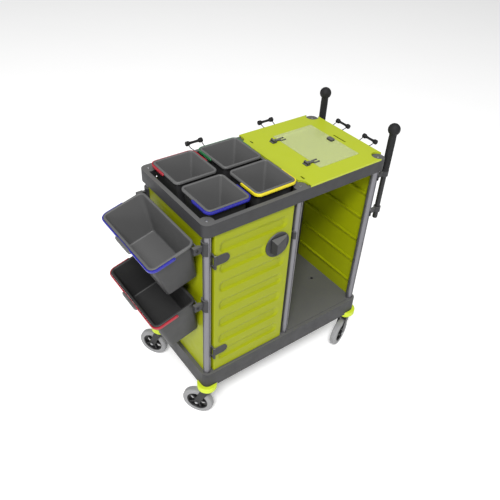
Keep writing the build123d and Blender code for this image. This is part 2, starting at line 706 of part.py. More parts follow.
def caster_fork(corner):
    half = WHEEL_W / 2 + FORK_GAP + FORK_LEG
    crown = block(-17, 25, -half, half, CROWN_BOTTOM, CROWN_TOP - 6)
    crown += rod_z(0, 0, CROWN_BOTTOM, CROWN_TOP, 24.0)
    fork = crown + fork_leg(-1) + fork_leg(1)
    fork -= rod_z(0, 0, CROWN_BOTTOM - 1, CROWN_TOP + 1, STEM_R + RUN)
    fork -= rod_y(TRAIL, WHEEL_R, -half - 1, half + 1, AXLE_R + FIT)
    return caster_place(corner) * fork


def caster_axle(corner):
    half = WHEEL_W / 2 + FORK_GAP + FORK_LEG
    axle = rod_y(TRAIL, WHEEL_R, -half, half, AXLE_R)
    for y0, y1 in ((-half - 4, -half), (half, half + 4)):
        head = extrude(RegularPolygon(7.5, 6), y1 - y0)
        axle += Pos(TRAIL, y1, WHEEL_R) * Rot(90, 0, 0) * head
    return caster_place(corner) * axle


def caster_hub(corner):
    half = WHEEL_W / 2
    hub = rod_y(0, 0, -half - 1, half + 1, HUB_BOSS_R)
    hub += rod_y(0, 0, -13, 13, TYRE_BORE_R) - rod_y(0, 0, -14, 14, TYRE_BORE_R - HUB_RIM)
    for i in range(SPOKES):
        spoke = block(HUB_BOSS_R - 2, TYRE_BORE_R - HUB_RIM + 1, -5, 5, -5.5, 5.5)
        hub += Rot(0, i * 360.0 / SPOKES, 0) * spoke
    hub -= rod_y(0, 0, -half - 2, half + 2, AXLE_R + RUN)
    return caster_place(corner) * Pos(TRAIL, 0, WHEEL_R) * hub


def caster_tyre(corner):
    half = WHEEL_W / 2
    tyre = rod_y(0, 0, -half, half, WHEEL_R)
    tyre = fillet(tyre.edges(), 9.0)
    tyre -= rod_y(0, 0, -half - 1, half + 1, TYRE_BORE_R)
    return caster_place(corner) * Pos(TRAIL, 0, WHEEL_R) * tyre


# ---- Push handles ----

def push_bar(y):
    bar = rod_z(POST_SPAN + BAR_OUT, y, BAR_BOTTOM, BALL_Z - 20, BAR_R)
    return fillet(bar.faces().sort_by(Axis.Z)[0].edges(), 6.0)


def handle_grip(y):
    """A sleeve pushed over the bar, with a round end."""
    x = POST_SPAN + BAR_OUT
    grip = rod_z(x, y, GRIP_BOTTOM, BALL_Z, GRIP_R)
    grip += Pos(x, y, BALL_Z) * Sphere(BALL_R)
    return grip - rod_z(x, y, GRIP_BOTTOM - 1, BALL_Z - 20, BAR_R + FIT)


def handle_clamp(y, z):
    """A block that holds a push bar off the post."""
    x = POST_SPAN + BAR_OUT
    z0 = z - CLAMP_H / 2
    z1 = z + CLAMP_H / 2
    clamp = outer_side(rod_z(POST_SPAN, y, z0, z1, POST_R + 5), POST_SPAN, y)
    clamp += rod_z(x, y, z0, z1, BAR_R + 5)
    clamp += block(POST_SPAN + POST_R, x, y - 7, y + 7, z0 + 3, z1 - 3)
    clamp -= rod_z(POST_SPAN, y, z0 - 1, z1 + 1, POST_R + FIT)
    return clamp - rod_z(x, y, z0 - 1, z1 + 1, BAR_R + FIT)


# ---- Mop handle holders, each in its own frame: foot at X = 0 on the tray, reaching out along +X ----

def holder_places():
    z = TRAY_TOP - 14
    back = [Pos(x, POST_DEPTH + TRAY_EDGE, z) * Rot(0, 0, 90) for x in HOLDER_BACK_X]
    right = [Pos(POST_SPAN + TRAY_EDGE, y, z) for y in HOLDER_RIGHT_Y]
    return back + right


def holder_foot(place):
    """The strip that a wire loop is fixed to, flat against the tray."""
    return place * block(0, 5, -HOLDER_FOOT / 2 - 12, HOLDER_FOOT / 2 + 12, -8, 8)


def holder_frame(place):
    """A wire loop: two arms that spread outwards and a rod through both knobs."""
    foot = HOLDER_FOOT / 2
    knob = HOLDER_KNOBS / 2
    knee = (38.0, foot + 6, 2.0)
    tip = (HOLDER_REACH - 9, knob, HOLDER_RISE)
    points = [(5, -foot, 0), (knee[0], -knee[1], knee[2]), (tip[0], -tip[1], tip[2])]
    points += [(tip[0], tip[1], tip[2]), (knee[0], knee[1], knee[2]), (5, foot, 0)]
    path = FilletPolyline(*points, radius=6.0)
    start = Plane(origin=path @ 0, z_dir=path % 0)
    return place * sweep(start * Circle(WIRE_R), path=path)


def holder_clip(place):
    """The rubber grip between the arms: two knobs joined by a waist, bored for the wire."""
    knob = HOLDER_KNOBS / 2
    x = HOLDER_REACH - 9
    clip = rod_y(x, HOLDER_RISE, -knob, knob, WAIST_R)
    for side in (-1, 1):
        clip += rod_y(x, HOLDER_RISE, side * knob - 8, side * knob + 8, KNOB_END_R)
    return place * clip - holder_frame(place)


# ---- Fasteners ----

def tray_screw(x, y):
    """A pan head screw down through a tray boss."""
    screw = rod_z(x, y, TRAY_TOP - 16, TRAY_TOP, 3.0)
    return screw + rod_z(x, y, TRAY_TOP, TRAY_TOP + 2.4, 5.5)


def groups():
    """Every node that holds several copies of one piece, all on the chassis."""
    corners = corners_at()
    left_posts = (0.0, POST_DEPTH)
    levels = tuple(LARGE_Z)
    bars = (0.0, POST_DEPTH)
    return {
        "frame_posts": [post_profile(*at) for at in posts_at()],
        "back_panels": [back_panel(0.0), back_panel(MID)],
        "door_hinge_brackets": [hinge_bracket(z) for z in HINGE_Z],
        "door_hinge_pins": [hinge_pin(z) for z in HINGE_Z],
        "door_hinge_straps": [hinge_strap(z) for z in HINGE_Z],
        "flap_hinge_plates": [flap_hinge_plate(y) for y in FLAP_HINGE_Y],
        "flap_hinge_leaves": [flap_hinge_leaf(y) for y in FLAP_HINGE_Y],
        "flap_hinge_pins": [flap_hinge_pin(y) for y in FLAP_HINGE_Y],
        "bucket_brackets": [bucket_bracket(level, y) for level in levels for y in left_posts],
        "hanger_bars": [hanger_bar(level) for level in levels],
        "caster_stems": [caster_stem(corner) for corner in corners],
        "caster_bumpers": [caster_bumper(corner) for corner in corners],
        "push_bars": [push_bar(y) for y in bars],
        "handle_grips": [handle_grip(y) for y in bars],
        "handle_clamps": [handle_clamp(y, z) for y in bars for z in CLAMP_Z],
        "holder_frames": [holder_frame(place) + holder_foot(place) for place in holder_places()],
        "holder_clips": [holder_clip(place) for place in holder_places()],
        "tray_screws": [tray_screw(*at) for at in posts_at()],
    }


def singles():
    """Every node that is one piece."""
    nodes = {
        "base_tray": base_tray(),
        "top_tray": top_tray(),
        "left_end_panel": left_end_panel(),
        "right_end_panel": right_end_panel(),
        "middle_partition": middle_partition(),
        "bucket_shelf": bucket_shelf(),
        "door_panel": door_panel(),
        "door_escutcheon": door_escutcheon(),
        "door_knob": door_knob(),
        "latch_cam": latch_cam(),
        "door_strike": door_strike(),
        "top_cover": top_cover(),
        "clear_flap": clear_flap(),
        "flap_pull": flap_pull(),
    }
    for colour, col, row in SMALL_COLOURS:
        nodes[f"{colour}_bucket"] = small_bucket(col, row)
        nodes[f"{colour}_bail"] = small_bail(col, row)
    for level in LARGE_Z:
        nodes[f"{level}_bucket"] = large_bucket(level)
        nodes[f"{level}_bail"] = large_bail(level)
    for corner in corners_at():
        nodes[f"fork_{corner}"] = caster_fork(corner)
        nodes[f"axle_{corner}"] = caster_axle(corner)
        nodes[f"hub_{corner}"] = caster_hub(corner)
        nodes[f"tyre_{corner}"] = caster_tyre(corner)
    return nodes


def main():
    nodes = {}
    for name, shape in singles().items():
        nodes[name] = Compound(shape.solids())
    for name, shapes in groups().items():
        nodes[name] = Compound([s for shape in shapes for s in shape.solids()])
    boxes = [shape.bounding_box() for shape in nodes.values()]
    low = [min(getattr(box.min, axis) for box in boxes) for axis in "XYZ"]
    high = [max(getattr(box.max, axis) for box in boxes) for axis in "XYZ"]
    middle = ((low[0] + high[0]) / 2, (low[1] + high[1]) / 2, low[2])
    to_origin = Pos(-middle[0], -middle[1], -middle[2])
    os.makedirs("parts", exist_ok=True)
    for name, shape in nodes.items():
        moved = Compound([to_origin * solid for solid in shape.solids()])
        export_step(moved, f"parts/{name}.step")
    print("nodes", len(nodes), "low", low, "high", high, "origin", middle)


main()
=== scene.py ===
import json
from math import asin, cos, degrees, hypot, pi, radians, sin, sqrt

import bmesh
import bpy
from mathutils import Matrix, Vector


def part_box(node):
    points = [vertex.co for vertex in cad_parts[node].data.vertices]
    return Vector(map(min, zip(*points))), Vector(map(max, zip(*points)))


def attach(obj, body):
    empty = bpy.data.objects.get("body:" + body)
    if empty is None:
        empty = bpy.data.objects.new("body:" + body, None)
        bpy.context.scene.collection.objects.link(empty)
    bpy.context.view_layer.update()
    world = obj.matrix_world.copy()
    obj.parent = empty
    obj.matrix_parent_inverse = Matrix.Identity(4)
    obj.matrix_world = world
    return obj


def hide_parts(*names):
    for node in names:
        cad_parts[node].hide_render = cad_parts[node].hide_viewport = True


# Housekeeping cart: the looks. Every length is in metres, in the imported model's own frame.
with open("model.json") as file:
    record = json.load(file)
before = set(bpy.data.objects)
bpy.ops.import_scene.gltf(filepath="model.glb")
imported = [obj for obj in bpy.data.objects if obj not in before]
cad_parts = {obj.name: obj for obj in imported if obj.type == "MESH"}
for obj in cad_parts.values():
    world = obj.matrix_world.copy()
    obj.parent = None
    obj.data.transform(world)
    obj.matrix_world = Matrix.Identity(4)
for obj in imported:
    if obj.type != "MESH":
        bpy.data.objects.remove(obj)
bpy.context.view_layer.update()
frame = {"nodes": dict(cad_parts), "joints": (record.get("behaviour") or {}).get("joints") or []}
SCENE = bpy.context.scene
MM = 0.001

# ---- Places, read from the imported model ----
POST_R = 17 * MM
posts_low, posts_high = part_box("frame_posts")
LEFT, RIGHT = posts_low.x + POST_R, posts_high.x - POST_R
FRONT, BACK = posts_low.y + POST_R, posts_high.y - POST_R
MIDDLE = (LEFT + RIGHT) / 2
JOINTS = {joint["name"]: joint for joint in frame["joints"]}


def joint_place(name):
    return Vector(JOINTS[name]["pos_m"])


def joint_axis(name):
    return Vector(JOINTS[name]["axis"]).normalized()


def turned(origin, x_axis, y_axis):
    """A placing matrix from an origin and two of its axes."""
    z_axis = x_axis.cross(y_axis)
    rows = Matrix((x_axis, y_axis, z_axis)).transposed().to_4x4()
    return Matrix.Translation(origin) @ rows


# ---- Camera, light and floor ----
VIEW_AZIMUTH, VIEW_ELEVATION, VIEW_ROLL = -0.66775, 0.67642, 0.05943  # radians
EYE_OUT, EYE_AHEAD, EYE_HEIGHT = 0.88633, 1.38328, 2.32274  # from the front left post's axis
SENSOR_WIDTH = 36.0
LENS = 40.66
WORLD_STRENGTH = 0.36
LAMP_TARGET = (0.0, 0.0, 0.7)
FLOOR_REACH = 9.0


def camera():
    """The view from high on the left of the cart's front."""
    azimuth, elevation, roll = VIEW_AZIMUTH, VIEW_ELEVATION, VIEW_ROLL
    back = Vector((sin(azimuth) * cos(elevation), -cos(azimuth) * cos(elevation), sin(elevation)))
    right = Vector((cos(azimuth), sin(azimuth), 0))
    up = right.cross(-back)
    side = cos(roll) * right + sin(roll) * up
    over = cos(roll) * up - sin(roll) * right
    data = bpy.data.cameras.new("camera")
    data.sensor_width = SENSOR_WIDTH
    data.lens = LENS
    data.clip_start = 0.05
    made = bpy.data.objects.new("camera", data)
    eye = Vector((LEFT - EYE_OUT, FRONT - EYE_AHEAD, EYE_HEIGHT))
    made.matrix_world = turned(eye, side, over)
    SCENE.collection.objects.link(made)
    SCENE.camera = made


def area_light(name, place, target, size, power):
    data = bpy.data.lights.new(name, "AREA")
    data.shape = "DISK"
    data.size = size
    data.energy = power
    made = bpy.data.objects.new(name, data)
    made.location = place
    made.rotation_euler = (Vector(target) - Vector(place)).to_track_quat("-Z", "Y").to_euler()
    SCENE.collection.objects.link(made)


def studio():
    SCENE.view_settings.view_transform = "Standard"
    world = bpy.data.worlds.new("studio")
    world.use_nodes = True
    background = world.node_tree.nodes["Background"]
    background.inputs["Color"].default_value = (1, 1, 1, 1)
    background.inputs["Strength"].default_value = WORLD_STRENGTH
    SCENE.world = world
    area_light("key", (-4.0, -4.5, 8.2), LAMP_TARGET, 2.6, 800)
    area_light("top", (0.2, -0.8, 9.4), LAMP_TARGET, 3.0, 140)
    area_light("left", (-8.0, -3.0, 4.0), LAMP_TARGET, 3.6, 150)
    mesh = bpy.data.meshes.new("floor")
    far = FLOOR_REACH
    square = [(-far, -far, 0), (far, -far, 0), (far, far, 0), (-far, far, 0)]
    mesh.from_pydata(square, [], [(0, 1, 2, 3)])
    floor = bpy.data.objects.new("floor", mesh)
    mesh.materials.append(floor_paint())
    SCENE.collection.objects.link(floor)


# ---- Materials ----

def linear(colour):
    """Display colour, 0 to 255, as the shader's linear numbers."""
    out = []
    for value in colour:
        share = value / 255
        out.append(share / 12.92 if share <= 0.04045 else ((share + 0.055) / 1.055) ** 2.4)
    return out


def shade(colour, factor):
    return tuple(min(1.0, value * factor) for value in linear(colour)) + (1.0,)


class Nodes:
    """A material being wired: each call adds one node and returns its output."""

    def __init__(self, name):
        self.material = bpy.data.materials.new(name)
        self.material.use_nodes = True
        self.tree = self.material.node_tree
        self.shader = self.tree.nodes["Principled BSDF"]
        self.place = self.add("ShaderNodeTexCoord").outputs["Object"]

    def add(self, kind):
        return self.tree.nodes.new(kind)

    def join(self, output, target):
        self.tree.links.new(output, target)

    def stretched(self, scale):
        node = self.add("ShaderNodeMapping")
        node.inputs["Scale"].default_value = scale
        self.join(self.place, node.inputs["Vector"])
        return node.outputs["Vector"]

    def facing(self, axis):
        """How far a face looks along an axis, -1 to 1."""
        node = self.add("ShaderNodeVectorMath")
        node.operation = "DOT_PRODUCT"
        self.join(self.add("ShaderNodeNewGeometry").outputs["Normal"], node.inputs[0])
        node.inputs[1].default_value = tuple(axis)
        return node.outputs["Value"]

    def noise(self, scale, detail=3.0, rough=0.55, vector=None):
        node = self.add("ShaderNodeTexNoise")
        node.inputs["Scale"].default_value = scale
        node.inputs["Detail"].default_value = detail
        node.inputs["Roughness"].default_value = rough
        self.join(vector or self.place, node.inputs["Vector"])
        return node.outputs["Fac"]

    def spread(self, value, low, high, to_low, to_high):
        node = self.add("ShaderNodeMapRange")
        node.inputs["From Min"].default_value = low
        node.inputs["From Max"].default_value = high
        node.inputs["To Min"].default_value = to_low
        node.inputs["To Max"].default_value = to_high
        self.join(value, node.inputs["Value"])
        return node.outputs["Result"]

    def mix(self, factor, first, second):
        """Between two colours, each a colour or another node's output."""
        node = self.add("ShaderNodeMix")
        node.data_type = "RGBA"
        self.join(factor, node.inputs["Factor"])
        for socket, colour in ((node.inputs[6], first), (node.inputs[7], second)):
            if isinstance(colour, tuple):
                socket.default_value = colour
            else:
                self.join(colour, socket)
        return node.outputs[2]

    def bump(self, height, strength, distance, under=None):
        node = self.add("ShaderNodeBump")
        node.inputs["Strength"].default_value = strength
        node.inputs["Distance"].default_value = distance
        self.join(height, node.inputs["Height"])
        if under:
            self.join(under, node.inputs["Normal"])
        return node.outputs["Normal"]

    def finish(self, colour, roughness, normal):
        self.join(colour, self.shader.inputs["Base Color"])
        self.join(roughness, self.shader.inputs["Roughness"])
        self.join(normal, self.shader.inputs["Normal"])
        return self.material


def moulded(name, colour, roughness, grain=0.25, mottle=0.06, scuffs=0.10, specular=0.4, paler=None):
    """Moulded plastic: a spark-eroded grain, cloudy colour and short fine scuffs.

    paler is (colour, axis, low, high): faces that look along the axis are painted in that colour, a
    painted light or shade set by which way they face.
    """
    made = Nodes(name)
    cloud = made.noise(7.0, 4.0)
    fine = made.noise(120.0, 3.0)
    base = made.mix(cloud, shade(colour, 1 - mottle), shade(colour, 1 + mottle))
    speck = made.spread(fine, 0.60, 0.78, 0.0, 0.10)
    base = made.mix(speck, base, shade(colour, 1.35))
    scratch = made.noise(26.0, 6.0, 0.7, made.stretched((1.0, 9.0, 14.0)))
    worn = made.spread(scratch, 0.60, 0.80, 0.0, scuffs)
    base = made.mix(worn, base, shade(colour, 1.5))
    # painted light or shade: faces turned along the axis take the given tone
    if paler:
        tone, axis, low, high = paler
        facing = made.spread(made.facing(axis), low, high, 0.0, 1.0)
        pale = made.mix(cloud, shade(tone, 1 - mottle), shade(tone, 1 + mottle))
        base = made.mix(facing, base, pale)
    rough = made.spread(made.noise(18.0, 5.0), 0.3, 0.7, roughness - 0.06, roughness + 0.08)
    pits = made.noise(1400.0, 2.0)
    normal = made.bump(pits, grain, 0.10 * MM)
    normal = made.bump(made.noise(9.0, 2.0), 0.10, 0.6 * MM, normal)
    made.shader.inputs["Specular IOR Level"].default_value = specular
    return made.finish(base, rough, normal)


def extruded(name, colour, roughness):
    """Anodised aluminium with drawing lines along Z."""
    made = Nodes(name)
    lines = made.noise(260.0, 4.0, 0.6, made.stretched((1.0, 1.0, 0.012)))
    cloud = made.noise(5.0, 3.0)
    base = made.mix(lines, shade(colour, 0.90), shade(colour, 1.08))
    base = made.mix(made.spread(cloud, 0.35, 0.7, 0.0, 0.25), base, shade(colour, 0.82))
    rough = made.spread(lines, 0.3, 0.7, roughness - 0.05, roughness + 0.10)
    normal = made.bump(lines, 0.18, 0.08 * MM)
    made.shader.inputs["Metallic"].default_value = 0.85
    return made.finish(base, rough, normal)


def metal(name, colour, roughness, metallic=1.0):
    """Plated or cast metal with a faint crystal pattern and handling marks."""
    made = Nodes(name)
    cells = made.noise(420.0, 3.0)
    cloud = made.noise(28.0, 5.0)
    base = made.mix(cloud, shade(colour, 0.86), shade(colour, 1.12))
    rough = made.spread(cloud, 0.3, 0.7, roughness - 0.06, roughness + 0.12)
    normal = made.bump(cells, 0.15, 0.06 * MM)
    made.shader.inputs["Metallic"].default_value = metallic
    return made.finish(base, rough, normal)


def rubber(name, colour, roughness):
    """Rubber: matt, with pores and a dusty bloom."""
    made = Nodes(name)
    bloom = made.noise(34.0, 6.0, 0.65)
    pores = made.noise(900.0, 2.0)
    base = made.mix(bloom, shade(colour, 0.85), shade(colour, 1.18))
    rough = made.spread(bloom, 0.3, 0.7, roughness - 0.05, min(1.0, roughness + 0.10))
    normal = made.bump(pores, 0.35, 0.12 * MM)
    made.shader.inputs["Specular IOR Level"].default_value = 0.3
    return made.finish(base, rough, normal)


def clear(name, colour, roughness):
    """Clear polycarbonate sheet, with light wipe marks."""
    made = Nodes(name)
    wipes = made.noise(20.0, 6.0, 0.7, made.stretched((1.0, 6.0, 1.0)))
    base = made.mix(wipes, shade(colour, 0.95), shade(colour, 1.0))
    rough = made.spread(wipes, 0.3, 0.8, roughness, roughness + 0.08)
    normal = made.bump(made.noise(6.0, 2.0), 0.05, 0.5 * MM)
    made.shader.inputs["Transmission Weight"].default_value = 0.45
    made.shader.inputs["IOR"].default_value = 1.5
    return made.finish(base, rough, normal)


def floor_paint():
    made = Nodes("floor_paint")
    cloud = made.noise(1.2, 3.0)
    base = made.mix(cloud, (0.96, 0.96, 0.96, 1), (0.98, 0.98, 0.98, 1))
    rough = made.spread(cloud, 0.0, 1.0, 0.85, 0.95)
    made.shader.inputs["Specular IOR Level"].default_value = 0.05
    made.shader.inputs["Emission Color"].default_value = (1, 1, 1, 1)
    made.shader.inputs["Emission Strength"].default_value = 0.22
    return made.finish(base, rough, made.bump(cloud, 0.02, 0.2 * MM))


UP = (0, 0, 1)
# painted light: grey plastic's upward faces are painted paler, as if lit from above
TOP_LIT_GREY = ((90, 90, 89), UP, 0.3, 0.8)


def bucket_paint(name, inside, axis):
    """Bucket plastic with painted light and shade inside: faces that look up the bucket's axis take the
    inside tone, pale for painted top light, dark for painted shade.
    """
    paler = ((inside, inside, inside), axis, 0.01, 0.04)
    return moulded(name, (48, 48, 49), 0.42, grain=0.12, mottle=0.04, paler=paler)


def paints():
    return {
        "grey_plastic": moulded("grey_plastic_look", (45, 45, 47), 0.52, mottle=0.05, paler=TOP_LIT_GREY),
        # the small buckets' up-facing insides are painted pale (92): painted top light
        "bucket_grey": bucket_paint("bucket_grey_look", 92, UP),
        "lime_plastic": moulded(
            "lime_plastic_look", (143, 151, 6), 0.46, mottle=0.035, scuffs=0.04, specular=0.2),
        "lime_cover": moulded("lime_cover_look", (172, 184, 36), 0.40, mottle=0.03, scuffs=0.06),
        "aluminium": extruded("aluminium_look", (128, 127, 132), 0.42),
        "steel": metal("steel_look", (170, 170, 172), 0.34),
        "black_wire": metal("black_wire_look", (30, 30, 31), 0.45, 0.3),
        "grey_metal": metal("grey_metal_look", (112, 112, 116), 0.48, 0.5),
        "black_plastic": moulded("black_plastic_look", (22, 22, 23), 0.45, scuffs=0.05),
        "black_rubber": rubber("black_rubber_look", (27, 27, 28), 0.68),
        "grey_tyre": rubber("grey_tyre_look", (140, 140, 141), 0.62),
        "lime_rubber": moulded("lime_rubber_look", (190, 208, 40), 0.50),
        "clear_sheet": clear("clear_sheet_look", (222, 232, 160), 0.06),
        "blue_plastic": moulded("blue_plastic_look", (29, 29, 142), 0.34, scuffs=0.05),
        "red_plastic": moulded("red_plastic_look", (158, 26, 42), 0.34, scuffs=0.05),
        "yellow_plastic": moulded("yellow_plastic_look", (222, 206, 40), 0.34, scuffs=0.05),
        "green_plastic": moulded("green_plastic_look", (42, 112, 68), 0.34, scuffs=0.05),
    }


# ---- Mesh building ----
SHARP_ANGLE = 32.0  # degrees between faces, above which an edge is rounded


def add_piece(name, verts, faces, body, slot, angle=38.0, look=None):
    """A closed mesh that rides on a body and takes a slot's finish."""
    mesh = bpy.data.meshes.new(name)
    mesh.from_pydata([tuple(v) for v in verts], [], faces)
    work = bmesh.new()
    work.from_mesh(mesh)
    bmesh.ops.remove_doubles(work, verts=work.verts, dist=1e-6)
    bmesh.ops.recalc_face_normals(work, faces=work.faces)
    work.to_mesh(mesh)
    work.free()
    mesh.materials.append(look or LOOKS[slot])
    mesh.shade_smooth()
    mesh.set_sharp_from_angle(angle=radians(angle))
    made = bpy.data.objects.new(name, mesh)
    SCENE.collection.objects.link(made)
    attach(made, body)
    return made


def shell(rings, ends=True):
    """Quads between rings of equal length, capped at both ends."""
    count = len(rings[0])
    verts = [point for ring in rings for point in ring]
    faces = []
    for k in range(len(rings) - 1):
        for i in range(count):
            j = (i + 1) % count
            faces.append((k * count + i, k * count + j, (k + 1) * count + j, (k + 1) * count + i))
    if ends:
        faces.append(tuple(reversed(range(count))))
        faces.append(tuple((len(rings) - 1) * count + i for i in range(count)))
    return verts, faces


def torus_like(rings):
    """Rings joined round in a closed loop, with no ends."""
    verts, faces = shell(rings, ends=False)
    count = len(rings[0])
    last = (len(rings) - 1) * count
    for i in range(count):
        j = (i + 1) % count
        faces.append((last + i, last + j, j, i))
    return verts, faces


def merged(*parts):
    """Several vertex and face lists as one."""
    verts, faces = [], []
    for more_verts, more_faces in parts:
        start = len(verts)
        verts.extend(more_verts)
        faces.extend(tuple(start + i for i in face) for face in more_faces)
    return verts, faces


def placed(part, matrix):
    verts, faces = part
    return [matrix @ Vector(v) for v in verts], faces


def rounded_ring(half_x, half_y, radius, z, steps=8):
    """Points round a rounded rectangle at one height."""
    points = []
    for quarter, (sx, sy) in enumerate(((1, 1), (-1, 1), (-1, -1), (1, -1))):
        for i in range(steps + 1):
            angle = (quarter + i / steps) * pi / 2
            x = sx * (half_x - radius) + radius * cos(angle)
            y = sy * (half_y - radius) + radius * sin(angle)
            points.append(Vector((x, y, z)))
    return points


def turned_part(profile, segments=48, closed=False):
    """A profile of (radius, height) points turned about Z; closed joins its last point to its first."""
    rings = []
    for radius, height in profile:
        ring = []
        for i in range(segments):
            angle = 2 * pi * i / segments
            ring.append(Vector((radius * cos(angle), radius * sin(angle), height)))
        rings.append(ring)
    return torus_like(rings) if closed else shell(rings)


def arc(centre, radius, start, stop, steps):
    """Points of an arc in degrees, for a profile."""
    out = []
    for i in range(steps + 1):
        angle = radians(start + (stop - start) * i / steps)
        out.append((centre[0] + radius * cos(angle), centre[1] + radius * sin(angle)))
    return out


def ease(value):
    value = max(0.0, min(1.0, value))
    return value * value * (3 - 2 * value)


def bevelled(made, width, segments=3):
    """Round an object's sharp edges with modifiers."""
    bevel = made.modifiers.new("bevel", "BEVEL")
    bevel.width = width
    bevel.segments = segments
    bevel.limit_method = "ANGLE"
    bevel.angle_limit = radians(SHARP_ANGLE)
    normals = made.modifiers.new("normals", "WEIGHTED_NORMAL")
    normals.keep_sharp = True


def soften(node, width):
    """Round a CAD node's sharp edges, its mesh as it is."""
    made = frame["nodes"][node]
    flat = made.modifiers.new("flat", "DECIMATE")
    flat.decimate_type = "DISSOLVE"
    flat.angle_limit = radians(0.6)
    bevelled(made, width, 2)


# ---- Door ----
POCKETS = 7
POCKET_PITCH = 101.3 * MM
POCKET_TALL = 66 * MM
POCKET_DEPTH = 8.5 * MM
POCKET_FIRST = 55 * MM  # from the door's foot
POCKET_CORNER = 26 * MM
POCKET_SIDES = (19 * MM, 26 * MM)  # plain margins on the left and right
POCKET_SLOPES = (11 * MM, 34 * MM)  # crisp below, soft above


def grid_lines(low, high, step, edge):
    """Grid positions from one edge to the other, with extra lines close to both."""
    inner = (low + edge[-1], high - edge[-1])
    count = max(2, round((inner[1] - inner[0]) / step))
    middle = [inner[0] + (inner[1] - inner[0]) * i / count for i in range(1, count)]
    return [low + e for e in edge] + middle + [high - e for e in reversed(edge)]


def two_sided(xs, zs, front, back, turn):
    """A plate between two height fields over one grid. turn places its (x, depth, z) points."""
    verts = [turn(x, front(x, z), z) for z in zs for x in xs]
    verts += [turn(x, back(x, z), z) for z in zs for x in xs]
    nx, nz = len(xs), len(zs)
    half = nx * nz
    faces = []
    for j in range(nz - 1):
        for i in range(nx - 1):
            a = j * nx + i
            faces.append((a, a + 1, a + nx + 1, a + nx))
            faces.append((half + a, half + a + nx, half + a + nx + 1, half + a + 1))
    rim = list(range(nx))
    rim += [j * nx + nx - 1 for j in range(1, nz)]
    rim += [(nz - 1) * nx + i for i in range(nx - 2, -1, -1)]
    rim += [j * nx for j in range(nz - 2, 0, -1)]
    for k, a in enumerate(rim):
        b = rim[(k + 1) % len(rim)]
        faces.append((a, half + a, half + b, b))
    return verts, faces


def pocket(x, z, low_x, high_x, low_z, high_z):
    """How deep a point is in a rounded pocket, 0 to 1, with a crisp lower and a soft upper slope."""
    corner = POCKET_CORNER
    soft_low, soft_high = POCKET_SLOPES
    cx, cz = (low_x + high_x) / 2, (low_z + high_z) / 2
    dx = abs(x - cx) - ((high_x - low_x) / 2 - corner)
    dz = abs(z - cz) - ((high_z - low_z) / 2 - corner)
    outside = hypot(max(dx, 0), max(dz, 0)) + min(max(dx, dz), 0) - corner
    share = ease((z - low_z) / (high_z - low_z))
    slope = soft_low + (soft_high - soft_low) * share
    return ease(-outside / slope)


def door():
    low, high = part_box("door_panel")
    knob_low, knob_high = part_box("door_escutcheon")
    straps_low, straps_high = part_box("door_hinge_straps")
    knob_x, knob_z = (knob_low.x + knob_high.x) / 2, (knob_low.z + knob_high.z) / 2
    flange = 4 * MM
    skin = 4 * MM
    face = low.y
    roll = 2.5 * MM
    first = low.z + POCKET_FIRST
    strap_h = 44 * MM
    lock_clear, lock_fade = 62 * MM, 14 * MM
    strap_clear, strap_fade = 1 * MM, 10 * MM
    centres = (straps_low.z + strap_h / 2, straps_high.z - strap_h / 2)

    def plain(x, z):
        """1 where the face stays plain, round the lock and under the straps."""
        away = hypot(x - knob_x, z - knob_z)
        kept = 1 - ease((away - lock_clear) / lock_fade)
        for centre in centres:
            over = max(x - straps_high.x, abs(z - centre) - strap_h / 2)
            kept = max(kept, 1 - ease((over - strap_clear) / strap_fade))
        return kept

    def front(x, z):
        edge = min(x - low.x, high.x - x, z - low.z, high.z - z)
        drop = 0.0 if edge >= roll else roll - sqrt(max(0.0, roll ** 2 - (roll - edge) ** 2))
        hollow = 0.0
        for i in range(POCKETS):
            z0 = first + i * POCKET_PITCH
            hollow = max(hollow, pocket(
                x, z, low.x + POCKET_SIDES[0], high.x - POCKET_SIDES[1], z0, z0 + POCKET_TALL))
        return face + drop + POCKET_DEPTH * hollow * (1 - plain(x, z))

    def back(x, z):
        edge = min(x - low.x, high.x - x, z - low.z, high.z - z)
        rise = ease((edge - flange) / (0.6 * MM))
        return high.y + (face + POCKET_DEPTH + skin - high.y) * rise

    edges = (0, 0.3 * MM, 1.0 * MM, 2.5 * MM, flange, flange + 0.6 * MM)
    xs = grid_lines(low.x, high.x, 3.4 * MM, edges)
    zs = grid_lines(low.z, high.z, 1.9 * MM, edges)
    verts, faces = two_sided(xs, zs, front, back, lambda x, y, z: Vector((x, y, z)))
    made = add_piece("door_shell", verts, faces, "door", "lime_plastic", 50)
    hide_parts("door_panel")


